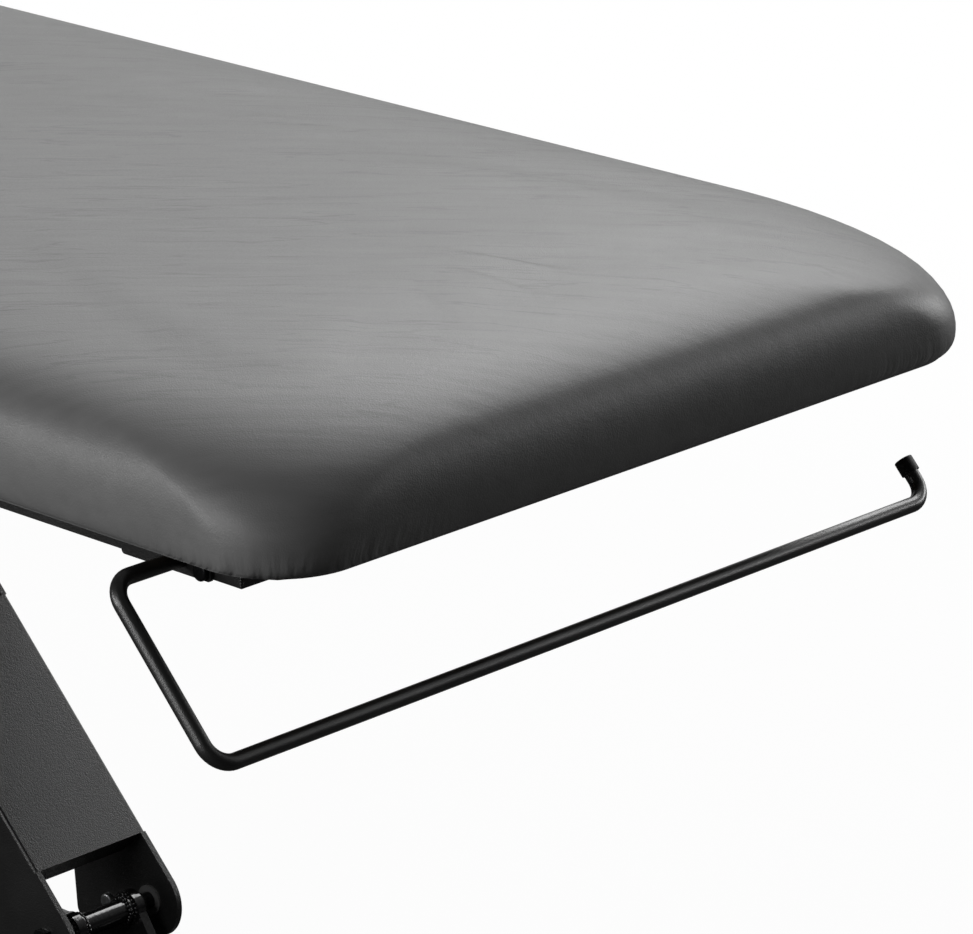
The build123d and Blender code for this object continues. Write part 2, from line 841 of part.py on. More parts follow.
box_width = 2 * base_rail_inside
box_bottom = base_clearance + box_lift
box_middle = box_bottom + box_height / 2
box_end = box_x + box_length / 2
control_box = Pos(box_x, 0, box_middle) * Box(box_length, box_width, box_height)
control_box -= Pos(box_x, 0, box_middle + box_wall) * Box(
    box_length - 2 * box_wall, box_width - 2 * box_wall, box_height
)
control_box -= Pos(box_end, 0, box_middle) * Box(2 * inlet_depth, inlet_width, inlet_height)
save("control_box", control_box)

lid = Pos(box_x, 0, box_bottom + box_height + box_lid / 2) * Box(box_length, box_width, box_lid)
save("control_box_lid", fillet(lid.edges().filter_by(Axis.Z), box_round))

circuit_board = Pos(box_x - inlet_depth / 2, 0, box_bottom + box_wall + board_rise) * Box(
    box_length - 2 * box_wall - inlet_depth, box_width - 2 * box_wall, board_sheet
)
save("control_board", circuit_board)

inlet_middle = box_end - (inlet_depth - inlet_proud) / 2
inlet = Pos(inlet_middle, 0, box_middle) * Box(inlet_depth + inlet_proud, inlet_width, inlet_height)
inlet -= Pos(inlet_middle + inlet_wall, 0, box_middle) * Box(
    inlet_depth + inlet_proud, inlet_width - 2 * inlet_wall, inlet_height - 2 * inlet_wall
)
save("mains_inlet", inlet)

# Height switch on the near rail's outer face

switch_front = -rail_outside - switch_depth
switch = Pos(switch_x, -rail_outside - switch_depth / 2, frame_middle) * Box(
    switch_length, switch_depth, switch_height
)
switch = fillet(switch.edges().filter_by(Axis.X), switch_round)
buttons = {"up_button": switch_x + button_pitch / 2, "down_button": switch_x - button_pitch / 2}
for name, x in buttons.items():
    bore_end = switch_front + button_length + button_travel
    switch -= rod_y(button_radius + button_gap, switch_front - overrun, bore_end, x, frame_middle)
    button_start = switch_front - button_proud
    button = rod_y(button_radius, button_start, button_start + button_length, x, frame_middle)
    save(name, fillet(button.edges().filter_by(GeomType.CIRCLE).sort_by(Axis.Y)[0], button_round))
save("switch_housing", switch)
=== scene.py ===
import json
import math
import bmesh
import bpy
from mathutils import Matrix, Vector


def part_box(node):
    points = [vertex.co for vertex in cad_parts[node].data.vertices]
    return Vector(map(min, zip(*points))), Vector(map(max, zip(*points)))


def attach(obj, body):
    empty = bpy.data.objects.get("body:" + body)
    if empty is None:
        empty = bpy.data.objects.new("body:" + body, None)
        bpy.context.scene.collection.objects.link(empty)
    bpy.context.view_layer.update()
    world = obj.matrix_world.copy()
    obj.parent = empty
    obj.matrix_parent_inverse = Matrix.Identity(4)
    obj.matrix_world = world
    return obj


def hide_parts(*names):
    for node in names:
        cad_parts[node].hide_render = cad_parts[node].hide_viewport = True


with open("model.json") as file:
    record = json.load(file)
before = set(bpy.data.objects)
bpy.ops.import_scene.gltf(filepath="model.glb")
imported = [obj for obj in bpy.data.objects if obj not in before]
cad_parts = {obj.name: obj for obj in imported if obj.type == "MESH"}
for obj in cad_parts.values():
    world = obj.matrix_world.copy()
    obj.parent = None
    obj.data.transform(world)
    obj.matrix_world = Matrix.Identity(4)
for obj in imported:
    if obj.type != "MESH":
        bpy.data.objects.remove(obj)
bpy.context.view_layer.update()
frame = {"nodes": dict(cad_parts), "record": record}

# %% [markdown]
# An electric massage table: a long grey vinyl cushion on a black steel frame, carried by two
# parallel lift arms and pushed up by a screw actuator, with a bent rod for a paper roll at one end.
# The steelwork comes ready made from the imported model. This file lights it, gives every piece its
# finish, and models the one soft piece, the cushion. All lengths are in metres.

nodes = frame["nodes"]

# %% [markdown]
# The photograph was taken with a long lens, so parallel edges hardly converge. The camera's place
# comes from the three vanishing points of the table's edges. It looks down by about 19 degrees and
# 43 degrees away from the table's long side.

# %% Camera
focal_pixels = 5480.0
photo_width = 973.0
sensor_width = 36.0
camera_place = Vector((3.360, -2.743, 1.900))
camera_right = Vector((0.7273, 0.6863, 0.0))
camera_up = Vector((-0.2218, 0.2350, 0.9464))

lens = bpy.data.cameras.new("camera")
lens.sensor_width = sensor_width
lens.lens = focal_pixels / photo_width * sensor_width
lens.clip_end = 50.0
camera = bpy.data.objects.new("camera", lens)
turn = Matrix((camera_right, camera_up, camera_right.cross(camera_up))).transposed()
camera.matrix_world = Matrix.Translation(camera_place) @ turn.to_4x4()
bpy.context.scene.collection.objects.link(camera)
bpy.context.scene.camera = camera
bpy.context.scene.view_settings.view_transform = "Standard"
print("lens", round(lens.lens, 2), "mm")

# %% [markdown]
# Most of the node trees below need a little arithmetic, so two helpers add it to a tree.


# %% Node helpers
def link_math(tree, operation, first, second=0.0):
    """A math node whose inputs are sockets or plain numbers."""
    node = tree.nodes.new("ShaderNodeMath")
    node.operation = operation
    for socket, value in zip(node.inputs, (first, second)):
        if isinstance(value, bpy.types.NodeSocket):
            tree.links.new(value, socket)
        else:
            socket.default_value = value
    return node.outputs[0]


def ramp(tree, value, from_low, from_high, to_low, to_high):
    """Maps a value smoothly from one range to another."""
    node = tree.nodes.new("ShaderNodeMapRange")
    node.interpolation_type = "SMOOTHSTEP"
    tree.links.new(value, node.inputs["Value"])
    limits = {"From Min": from_low, "From Max": from_high, "To Min": to_low, "To Max": to_high}
    for label, number in limits.items():
        node.inputs[label].default_value = number
    return node.outputs["Result"]


print("node helpers ready")

# %% [markdown]
# The backdrop is plain white to the camera. In reflections it is a wide white sweep that stands
# behind the table, and the rest of the room is dark. That is why the cushion's top looks veiled with
# light while its long side turns dark.

# %% World
fill_level = 0.02
dark_room = 0.03
sweep_level = 0.58
sweep_direction = (-0.2, 0.95, 0.2)
sweep_edges = (0.45, 0.86)

world = bpy.data.worlds.new("studio")
world.use_nodes = True
bpy.context.scene.world = world
tree = world.node_tree
background = tree.nodes["Background"]
background.inputs["Color"].default_value = (1.0, 1.0, 1.0, 1.0)
path = tree.nodes.new("ShaderNodeLightPath")
ray = tree.nodes.new("ShaderNodeTexCoord")
towards = tree.nodes.new("ShaderNodeVectorMath")
towards.operation = "DOT_PRODUCT"
towards.inputs[1].default_value = sweep_direction
tree.links.new(ray.outputs["Generated"], towards.inputs[0])
sweep = ramp(tree, towards.outputs["Value"], *sweep_edges, dark_room, sweep_level)
mirrored = link_math(tree, "MULTIPLY", path.outputs["Is Glossy Ray"], sweep)
seen = link_math(tree, "MAXIMUM", path.outputs["Is Camera Ray"], path.outputs["Is Transmission Ray"])
backdrop = link_math(tree, "MAXIMUM", seen, mirrored)
tree.links.new(link_math(tree, "MAXIMUM", backdrop, fill_level), background.inputs["Strength"])
print("world", world.name)

# %% [markdown]
# The floor is its own white to the camera, with a small share of real shading near the table, which
# keeps a soft shadow. For all other rays it is plain grey. Seen from below it is clear, so that the
# underside can be looked at.

# %% Floor
floor_size = 40.0
floor_mesh = bpy.data.meshes.new("floor")
bm = bmesh.new()
bmesh.ops.create_grid(bm, x_segments=1, y_segments=1, size=floor_size / 2)
bm.to_mesh(floor_mesh)
bm.free()
floor = bpy.data.objects.new("floor", floor_mesh)
bpy.context.scene.collection.objects.link(floor)

shadow_share = 0.05
shadow_reach = (1.2, 2.6)
shaded_level = 0.9
unseen_level = 0.09
floor_paint = bpy.data.materials.new("floor_white")
floor_paint.use_nodes = True
tree = floor_paint.node_tree
tree.nodes.clear()
output = tree.nodes.new("ShaderNodeOutputMaterial")
white = tree.nodes.new("ShaderNodeEmission")
white.inputs["Strength"].default_value = 1.0
shaded = tree.nodes.new("ShaderNodeBsdfDiffuse")
shaded.inputs["Color"].default_value = (shaded_level, shaded_level, shaded_level, 1.0)
grey = tree.nodes.new("ShaderNodeBsdfDiffuse")
grey.inputs["Color"].default_value = (unseen_level, unseen_level, unseen_level, 1.0)
place = tree.nodes.new("ShaderNodeTexCoord")
distance = tree.nodes.new("ShaderNodeVectorMath")
distance.operation = "LENGTH"
tree.links.new(place.outputs["Object"], distance.inputs[0])
near_share = ramp(tree, distance.outputs["Value"], *shadow_reach, shadow_share, 0.0)
to_camera = tree.nodes.new("ShaderNodeMixShader")
tree.links.new(near_share, to_camera.inputs["Fac"])
tree.links.new(white.outputs["Emission"], to_camera.inputs[1])
tree.links.new(shaded.outputs["BSDF"], to_camera.inputs[2])
path = tree.nodes.new("ShaderNodeLightPath")
seen = link_math(tree, "MAXIMUM", path.outputs["Is Camera Ray"], path.outputs["Is Transmission Ray"])
mix = tree.nodes.new("ShaderNodeMixShader")
tree.links.new(seen, mix.inputs["Fac"])
tree.links.new(grey.outputs["BSDF"], mix.inputs[1])
tree.links.new(to_camera.outputs["Shader"], mix.inputs[2])
sides = tree.nodes.new("ShaderNodeNewGeometry")
clear = tree.nodes.new("ShaderNodeBsdfTransparent")
from_below = tree.nodes.new("ShaderNodeMixShader")
tree.links.new(sides.outputs["Backfacing"], from_below.inputs["Fac"])
tree.links.new(mix.outputs["Shader"], from_below.inputs[1])
tree.links.new(clear.outputs["BSDF"], from_below.inputs[2])
tree.links.new(from_below.outputs["Shader"], output.inputs["Surface"])
floor_mesh.materials.append(floor_paint)
print("floor", floor_size, "m wide")

# %% [markdown]
# In the photograph the cushion's top is mid grey, its long near side darker and its end nearly black.
# So most light comes from above and behind. Each of the other soft bands in the photograph is the
# mirror image of one more softbox, and the band's place on the rounded cushion gives the softbox its
# place: a low one far behind for the end and the bar, a low one on the near side for the band along
# the cushion's side, a higher one there for its corner, and one at the plain end for the arm.


# %% Lamps
work_middle = Vector((0.45, 0.0, 0.70))


def around(azimuth, elevation, distance):
    """A place round the table's middle, from two angles in degrees and a distance."""
    turn, rise = math.radians(azimuth), math.radians(elevation)
    flat = math.cos(rise)
    return work_middle + distance * Vector((flat * math.cos(turn), flat * math.sin(turn), math.sin(rise)))


def softbox(name, place, size, power):
    """A rectangular area lamp that faces the table's middle."""
    lamp = bpy.data.lights.new(name, "AREA")
    lamp.shape = "RECTANGLE"
    lamp.size, lamp.size_y = size
    lamp.energy = power
    holder = bpy.data.objects.new(name, lamp)
    aim = (work_middle - place).to_track_quat("-Z", "Y")
    holder.matrix_world = Matrix.Translation(place) @ aim.to_matrix().to_4x4()
    bpy.context.scene.collection.objects.link(holder)


# Each softbox: its place, its width and height in metres, and its power in watts.
softboxes = {
    "behind_high": (around(105, 37, 3.2), (2.6, 1.2), 53.0),
    "behind_low": (around(67, 9, 3.4), (2.0, 0.5), 27.0),
    "near_low": (around(245, 8, 3.4), (2.4, 0.5), 37.0),
    "near_high": (around(275, 24, 3.2), (1.2, 1.2), 21.0),
    "plain_end": (around(150, 30, 4.2), (2.4, 1.6), 21.0),
}
for name, settings in softboxes.items():
    softbox(name, *settings)
print("softboxes", len(softboxes))

# %% [markdown]
# Two effects are used by more than one material, so each is a node group with named inputs. The
# first is a fine pebble, for vinyl, powder coat and moulded plastic alike. It takes a pebble width,
# and puts out a normal and a mask that is high in the valleys.


# %% Pebble group
def new_group(name, inputs, outputs):
    """A shader node group with its sockets, its input node and its output node."""
    group = bpy.data.node_groups.new(name, "ShaderNodeTree")
    for label, kind, value in inputs:
        socket = group.interface.new_socket(label, in_out="INPUT", socket_type=kind)
        if value is not None:
            socket.default_value = value
    for label, kind in outputs:
        group.interface.new_socket(label, in_out="OUTPUT", socket_type=kind)
    return group, group.nodes.new("NodeGroupInput"), group.nodes.new("NodeGroupOutput")


pebble_smoothness = 0.35
valley_edges = (0.15, 0.75)
pebble, source, sink = new_group(
    "pebble",
    [
        ("Width", "NodeSocketFloat", 0.001),
        ("Depth", "NodeSocketFloat", 0.0001),
        ("Normal", "NodeSocketVector", None),
    ],
    [("Normal", "NodeSocketVector"), ("Valley", "NodeSocketFloat")],
)
place = pebble.nodes.new("ShaderNodeTexCoord")
density = link_math(pebble, "DIVIDE", 1.0, source.outputs["Width"])
cells = pebble.nodes.new("ShaderNodeTexVoronoi")
cells.feature = "SMOOTH_F1"
cells.inputs["Smoothness"].default_value = pebble_smoothness
pebble.links.new(place.outputs["Object"], cells.inputs["Vector"])
pebble.links.new(density, cells.inputs["Scale"])
valley = pebble.nodes.new("ShaderNodeMapRange")
valley.inputs["From Min"].default_value = valley_edges[0]
valley.inputs["From Max"].default_value = valley_edges[1]
pebble.links.new(cells.outputs["Distance"], valley.inputs["Value"])
height = link_math(pebble, "SUBTRACT", 1.0, valley.outputs["Result"])
bump = pebble.nodes.new("ShaderNodeBump")
bump.inputs["Strength"].default_value = 1.0
pebble.links.new(height, bump.inputs["Height"])
pebble.links.new(source.outputs["Depth"], bump.inputs["Distance"])
pebble.links.new(source.outputs["Normal"], bump.inputs["Normal"])
pebble.links.new(bump.outputs["Normal"], sink.inputs["Normal"])
pebble.links.new(valley.outputs["Result"], sink.inputs["Valley"])
print("group", pebble.name)

# %% [markdown]
# The second is a slow cloud of light and dark, which keeps a wide plain face from looking like flat
# paint. The Stretch input makes the cloud long along one direction, as creases and brush marks are.

# %% Cloud group
noise_detail = 4.0
noise_roughness = 0.55
noise_edges = (0.3, 0.7)
cloud, source, sink = new_group(
    "cloud",
    [
        ("Width", "NodeSocketFloat", 0.1),
        ("Stretch", "NodeSocketVector", (1.0, 1.0, 1.0)),
        ("Turn", "NodeSocketVector", (0.0, 0.0, 0.0)),
        ("Low", "NodeSocketFloat", 0.0),
        ("High", "NodeSocketFloat", 1.0),
    ],
    [("Value", "NodeSocketFloat")],
)
place = cloud.nodes.new("ShaderNodeTexCoord")
mapping = cloud.nodes.new("ShaderNodeMapping")
mapping.vector_type = "TEXTURE"
cloud.links.new(place.outputs["Object"], mapping.inputs["Vector"])
cloud.links.new(source.outputs["Stretch"], mapping.inputs["Scale"])
cloud.links.new(source.outputs["Turn"], mapping.inputs["Rotation"])
noise = cloud.nodes.new("ShaderNodeTexNoise")
noise.inputs["Detail"].default_value = noise_detail
noise.inputs["Roughness"].default_value = noise_roughness
cloud.links.new(mapping.outputs["Vector"], noise.inputs["Vector"])
cloud.links.new(link_math(cloud, "DIVIDE", 1.0, source.outputs["Width"]), noise.inputs["Scale"])
spread = cloud.nodes.new("ShaderNodeMapRange")
spread.inputs["From Min"].default_value = noise_edges[0]
spread.inputs["From Max"].default_value = noise_edges[1]
cloud.links.new(noise.outputs["Fac"], spread.inputs["Value"])
cloud.links.new(source.outputs["Low"], spread.inputs["To Min"])
cloud.links.new(source.outputs["High"], spread.inputs["To Max"])
cloud.links.new(spread.outputs["Result"], sink.inputs["Value"])
print("group", cloud.name)

# %% [markdown]
# Every material is a Principled shader. These helpers make one, place a node group in it, set its
# colour between a dark and a light tone, and set its roughness by a mask.


# %% Helpers for materials
def place_group(tree, group, **values):
    """Places a node group. Values are plain numbers, tuples or sockets, named as the group's inputs."""
    node = tree.nodes.new("ShaderNodeGroup")
    node.node_tree = group
    for label, value in values.items():
        if isinstance(value, bpy.types.NodeSocket):
            tree.links.new(value, node.inputs[label])
        else:
            node.inputs[label].default_value = value
    return node


def new_material(name, **sockets):
    """A Principled material, with its plain numbers set on the shader's own sockets."""
    material = bpy.data.materials.new(name)
    material.use_nodes = True
    shader = material.node_tree.nodes["Principled BSDF"]
    for label, value in sockets.items():
        shader.inputs[label.replace("_", " ")].default_value = value
    return material, material.node_tree, shader


def shade_between(tree, shader, fac, dark, light):
    """Feeds the base colour with a mix of two colours."""
    mixer = tree.nodes.new("ShaderNodeMix")
    mixer.data_type = "RGBA"
    mixer.inputs["A"].default_value = (*dark, 1.0)
    mixer.inputs["B"].default_value = (*light, 1.0)
    tree.links.new(fac, mixer.inputs["Factor"])
    tree.links.new(mixer.outputs["Result"], shader.inputs["Base Color"])


def vary_roughness(tree, shader, least, spread, mask):
    """Roughness from a least value, with a share of a mask added."""
    added = link_math(tree, "MULTIPLY", mask, spread)
    tree.links.new(link_math(tree, "ADD", least, added), shader.inputs["Roughness"])


def add_bump(tree, height, distance, strength=1.0, normal=None):
    """A bump from a height, on top of another normal where one is given."""
    bump = tree.nodes.new("ShaderNodeBump")
    bump.inputs["Distance"].default_value = distance
    bump.inputs["Strength"].default_value = strength
    tree.links.new(height, bump.inputs["Height"])
    if normal is not None:
        tree.links.new(normal, bump.inputs["Normal"])
    return bump.outputs["Normal"]


print("material helpers ready")

# %% [markdown]
# Vinyl is one plastic skin over foam. Up close it has a fine leather grain. From a step away it shows
# faint long creases, where the skin was pulled over the foam, and a slow change of tone. The creases
# are a shallow bump, and the colour is painted darker in their hollows as painted shade. The thin dark
# crease lines are also painted shade. They lie where a stretched cloud crosses its middle value.
# They come in patches, and only on the flat top, because the skin is tight round the edges.

# %% Vinyl: tone and painted crease shade
pull_turn = (0.0, 0.0, math.radians(43.0))
line_half_width = 0.045
flat_edges = (0.93, 0.995)
tone_share = 0.25
crease_hollow_shade_share = 0.30
crease_line_shade_share = 0.45
vinyl_dark = (0.130, 0.130, 0.130)
vinyl_light = (0.232, 0.232, 0.232)

vinyl, tree, shader = new_material("vinyl", Specular_IOR_Level=0.5)
tone = place_group(tree, cloud, Width=0.35, Low=0.0, High=1.0)
# The crease cloud is also the crease bump's height, so its share of the colour is painted shade in the
# crease hollows.
crease = place_group(tree, cloud, Width=0.016, Stretch=(6.0, 1.0, 1.0), Turn=pull_turn, Low=0.0, High=1.0)
# Painted shade: thin dark lines where this cloud crosses its middle value, standing in for shade along the
# creases.
crease_line_cloud = place_group(tree, cloud, Width=0.030, Stretch=(10.0, 1.0, 1.0), Turn=pull_turn, Low=0.0, High=1.0)
off_centre = link_math(tree, "ABSOLUTE", link_math(tree, "SUBTRACT", crease_line_cloud.outputs[0], 0.5))
shaded_crease_line = ramp(tree, off_centre, 0.0, line_half_width, 0.0, 1.0)
patch = place_group(tree, cloud, Width=0.12, Low=-0.6, High=1.2)
directions = tree.nodes.new("ShaderNodeTexCoord")
upwards = tree.nodes.new("ShaderNodeSeparateXYZ")
tree.links.new(directions.outputs["Normal"], upwards.inputs["Vector"])
rolled_edge = ramp(tree, upwards.outputs["Z"], *flat_edges, 1.0, 0.0)
plain = link_math(tree, "MAXIMUM", link_math(tree, "MAXIMUM", shaded_crease_line, patch.outputs[0]), rolled_edge)
# The colour mixes random tone with painted shade in the crease hollows and along the crease lines.
shares = [(tone.outputs[0], tone_share), (crease.outputs[0], crease_hollow_shade_share), (plain, crease_line_shade_share)]
weighed = [link_math(tree, "MULTIPLY", socket, share) for socket, share in shares]
blend = link_math(tree, "ADD", link_math(tree, "ADD", weighed[0], weighed[1]), weighed[2])
shade_between(tree, shader, blend, vinyl_dark, vinyl_light)
print("vinyl tone from", len(shares), "masks")

# %% [markdown]
# Near the corners the cover is gathered where it turns under the cushion. The gathers are a noise in
# the cover's own UV map, narrow along the edge and long up the side. The mesh's gather attribute says
# how strong they are. The crease bump, the gathers and the grain lie on each other in that order.

# %% Vinyl: relief
crease_depth = 0.0004
crease_strength = 0.3
pleat_size = (0.011, 0.060, 1.0)
pleat_detail = 2.0
pleat_depth = 0.004
vinyl_roughness = (0.38, 0.10)

crease_bump = add_bump(tree, crease.outputs[0], crease_depth, crease_strength)
cover_map = tree.nodes.new("ShaderNodeUVMap")
cover_map.uv_map = "cover"
pleat_map = tree.nodes.new("ShaderNodeMapping")
pleat_map.vector_type = "TEXTURE"
pleat_map.inputs["Scale"].default_value = pleat_size
tree.links.new(cover_map.outputs["UV"], pleat_map.inputs["Vector"])
pleats = tree.nodes.new("ShaderNodeTexNoise")
pleats.inputs["Scale"].default_value = 1.0
pleats.inputs["Detail"].default_value = pleat_detail
tree.links.new(pleat_map.outputs["Vector"], pleats.inputs["Vector"])
gather = tree.nodes.new("ShaderNodeAttribute")
gather.attribute_name = "gather"
gathered = link_math(tree, "MULTIPLY", pleats.outputs["Fac"], gather.outputs["Fac"])
gather_bump = add_bump(tree, gathered, pleat_depth, normal=crease_bump)
grain = place_group(tree, pebble, Width=0.0012, Depth=0.00006, Normal=gather_bump)
tree.links.new(grain.outputs["Normal"], shader.inputs["Normal"])
vary_roughness(tree, shader, *vinyl_roughness, grain.outputs["Valley"])
finishes = {"vinyl": vinyl}
print("vinyl ready")

# %% [markdown]
# Powder coat is sprayed on as dust and baked, which leaves a fine orange peel. Its colour is almost
# black. What shows is the broken highlight, so the pebble's depth matters more than the colour.


# %% Coats and plastics
coat_cloud_width = 0.09


def pebbled(name, dark, light, roughness, grain_size, **sockets):
    """A finish with a fine pebble, a slow cloud of tone and a roughness that follows it."""
    material, tree, shader = new_material(name, **sockets)
    tone = place_group(tree, cloud, Width=coat_cloud_width, Low=0.0, High=1.0)
    shade_between(tree, shader, tone.outputs[0], dark, light)
    pebble_width, pebble_depth = grain_size
    grain = place_group(tree, pebble, Width=pebble_width, Depth=pebble_depth)
    tree.links.new(grain.outputs["Normal"], shader.inputs["Normal"])
    vary_roughness(tree, shader, *roughness, tone.outputs[0])
    return material


def neutral(level):
    """A grey of one level."""
    return (level, level, level)


# Each row: name, dark and light tone, roughness and its spread, pebble width and depth, plain sockets.
coats = [
    ("powder_coat", neutral(0.011), neutral(0.017), (0.34, 0.10), (0.0012, 0.00011),
     {"Specular_IOR_Level": 0.7}),
    ("rod_coat", neutral(0.012), neutral(0.019), (0.31, 0.08), (0.0010, 0.00005),
     {"Specular_IOR_Level": 1.0}),
    ("gloss_coat", (0.006, 0.006, 0.0065), (0.011, 0.011, 0.0115), (0.10, 0.06), (0.004, 0.00003),
     {"Coat_Weight": 0.5}),
    ("moulded_black", (0.014, 0.014, 0.015), (0.024, 0.024, 0.025), (0.48, 0.10), (0.0008, 0.00006),
     {"Specular_IOR_Level": 0.4}),
    ("button_grey", (0.26, 0.27, 0.28), (0.34, 0.35, 0.36), (0.42, 0.08), (0.0007, 0.00004), {}),
    ("foot_rubber", (0.016, 0.016, 0.017), (0.030, 0.030, 0.031), (0.72, 0.12), (0.0011, 0.00008),
     {"Specular_IOR_Level": 0.3}),
    ("bush_nylon", neutral(0.10), neutral(0.15), (0.30, 0.10), (0.0006, 0.00002),
     {"Specular_IOR_Level": 0.6}),
    ("actuator_grey", (0.050, 0.050, 0.054), (0.075, 0.075, 0.080), (0.44, 0.10), (0.0009, 0.00006), {}),
    ("circuit_board", (0.010, 0.090, 0.040), (0.020, 0.150, 0.065), (0.28, 0.10), (0.0030, 0.00005), {}),
]
for name, dark, light, roughness, grain_size, sockets in coats:
    finishes[name] = pebbled(name, dark, light, roughness, grain_size, **sockets)
print("coats and plastics", len(coats))

# %% [markdown]
# Bare metal parts are turned, drawn or plated. Fine lines around or along the piece come from a
# cloud that is stretched strongly one way.


# %% Metals
line_roughness = 0.12
line_depth = 0.00004


def brushed(name, dark, light, roughness, stretch, line_width):
    """Bare metal with fine lines in one direction."""
    material, tree, shader = new_material(name, Metallic=1.0)
    lines = place_group(tree, cloud, Width=line_width, Stretch=stretch, Low=0.0, High=1.0)
    shade_between(tree, shader, lines.outputs[0], dark, light)
    vary_roughness(tree, shader, roughness, line_roughness, lines.outputs[0])
    tree.links.new(add_bump(tree, lines.outputs[0], line_depth), shader.inputs["Normal"])
    return material


# Each row: name, dark and light tone, roughness, stretch of the lines along X, Y and Z, line width.
metals = [
    ("zinc", (0.46, 0.47, 0.48), (0.62, 0.63, 0.64), 0.28, (1.0, 1.0, 1.0), 0.004),
    ("dark_fastener", (0.030, 0.030, 0.032), (0.060, 0.060, 0.063), 0.30, (1.0, 10.0, 1.0), 0.002),
    ("actuator_alloy", (0.52, 0.53, 0.54), (0.62, 0.63, 0.64), 0.30, (1.0, 1.0, 25.0), 0.0012),
    ("polished_rod", (0.66, 0.67, 0.68), (0.76, 0.77, 0.78), 0.08, (10.0, 10.0, 1.0), 0.0012),
    ("nut_bronze", (0.50, 0.33, 0.13), (0.62, 0.43, 0.19), 0.26, (1.0, 1.0, 10.0), 0.002),
]
for name, *settings in metals:
    finishes[name] = brushed(name, *settings)
print("metals", len(metals))

# %% [markdown]
# The board under the cushion is birch plywood. Its face shows long grain along the table, and its
# edge shows the plies as thin light and dark layers, which a wave along Z draws.

# %% Plywood
ply_thickness = 0.0015
wave_per_ply = 0.314
face_share = 0.6
edge_share = 0.4
birch_dark = (0.42, 0.27, 0.14)
birch_light = (0.64, 0.48, 0.30)
birch_roughness = (0.55, 0.15)
birch_grain_depth = 0.0002

plywood, tree, shader = new_material("plywood", Specular_IOR_Level=0.3)
grain_lines = place_group(tree, cloud, Width=0.004, Stretch=(60.0, 1.0, 1.0), Low=0.0, High=1.0)
place = tree.nodes.new("ShaderNodeTexCoord")
plies = tree.nodes.new("ShaderNodeTexWave")
plies.bands_direction = "Z"
plies.inputs["Scale"].default_value = wave_per_ply / ply_thickness
tree.links.new(place.outputs["Object"], plies.inputs["Vector"])
face_part = link_math(tree, "MULTIPLY", grain_lines.outputs[0], face_share)
edge_part = link_math(tree, "MULTIPLY", plies.outputs["Fac"], edge_share)
wood = link_math(tree, "ADD", face_part, edge_part)
shade_between(tree, shader, wood, birch_dark, birch_light)
vary_roughness(tree, shader, *birch_roughness, grain_lines.outputs[0])
tree.links.new(add_bump(tree, grain_lines.outputs[0], birch_grain_depth), shader.inputs["Normal"])
finishes["plywood"] = plywood
print("plywood ready")

# %% [markdown]
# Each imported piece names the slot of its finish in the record, so one loop dresses them all. The roll
# rod is coated more smoothly than the frame, and the lugs of the pivots are glossy.

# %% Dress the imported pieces
slots = {part["node"]: part["material_slot"] for part in frame["record"]["subparts"]}
own_finish = {
    "roll_holder_rod": "rod_coat",
    "lower_lugs": "gloss_coat",
    "head_lugs": "gloss_coat",
    "lug_plates": "gloss_coat",
}
slots.update(own_finish)
for node, slot in slots.items():
    mesh = nodes[node].data
    mesh.materials.clear()
    mesh.materials.append(finishes[slot])
print("dressed", len(slots), "pieces in", len(set(slots.values())), "finishes")

# %% [markdown]
# A weld bead is a row of drops of metal, each laid half over the last. So it is modelled as that:
# small balls sunk halfway into the seam, under the same coat as the steel. A ring goes round each
# face where a pivot tube meets its lugs, and an upright row closes each corner of the top frame. The
# rings wander a little, as a hand-laid weld does.


# %% Weld beads: helpers
def bead_piece(name, places, radius, body, finish):
    """A row of drops as one piece that rides on a body."""
    mesh = bpy.data.meshes.new(name)
    bm = bmesh.new()
    for place in places:
        made = bmesh.ops.create_uvsphere(bm, u_segments=8, v_segments=6, radius=radius)["verts"]
        bmesh.ops.translate(bm, verts=made, vec=place)
    for face in bm.faces:
        face.smooth = True
    bm.to_mesh(mesh)
    bm.free()
    mesh.materials.append(finishes[finish])
    piece = bpy.data.objects.new(name, mesh)
    bpy.context.scene.collection.objects.link(piece)
    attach(piece, body)
    print(name, len(places), "drops")


drops_round = 20
weld_wander = 0.0005
wander_turns = 5


def ring_places(centre, radius):
    """Places of drops round the Y axis through a centre."""
    places = []
    for k in range(drops_round):
        angle = 2 * math.pi * k / drops_round
        reach = radius + weld_wander * math.sin(wander_turns * angle)
        sideways = weld_wander * math.cos((wander_turns + 2) * angle)
        places.append(centre + Vector((reach * math.cos(angle), sideways, reach * math.sin(angle))))
    return places


print("weld helpers ready")

# %% [markdown]
# The pivot tube runs along Y. Its lugs have an inner and an outer face at each end, and the tube is
# slightly thinner where it leaves the inner collar.

# %% Weld beads: pivots
bead_radius = 0.0023
thin_share = 0.88
lug_faces = ((0.0230, thin_share), (0.0280, 1.0), (0.0360, 1.0))
for tube, body in (("lower_pivot_tubes", "base"), ("upper_pivot_tubes", "top")):
    low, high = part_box(tube)
    middle = (low + high) / 2
    collar = (high.z - low.z) / 2
    places = []
    for x in (low.x + collar, high.x - collar):
        for side in (1, -1):
            for face, share in lug_faces:
                places += ring_places(Vector((x, middle.y + side * face, middle.z)), collar * share)
    bead_piece(tube.replace("tubes", "welds"), places, bead_radius, body, "gloss_coat")

# %% [markdown]
# The top frame's tubes meet in mitres. Each outer corner has one upright bead, as tall as the tube.

# %% Weld beads: frame corners
corner_bead_radius = 0.0016
corner_drops = 14
sunk = corner_bead_radius / 2
places = []
for rail in ("end_rail_roll_end", "end_rail_plain_end"):
    low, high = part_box(rail)
    x = high.x - sunk if high.x > 0 else low.x + sunk
    lowest = low.z + corner_bead_radius
    height = high.z - low.z - 2 * corner_bead_radius
    for y in (low.y + sunk, high.y - sunk):
        for k in range(corner_drops):
            places.append(Vector((x, y, lowest + height * k / (corner_drops - 1))))
bead_piece("frame_corner_welds", places, corner_bead_radius, "top", "powder_coat")

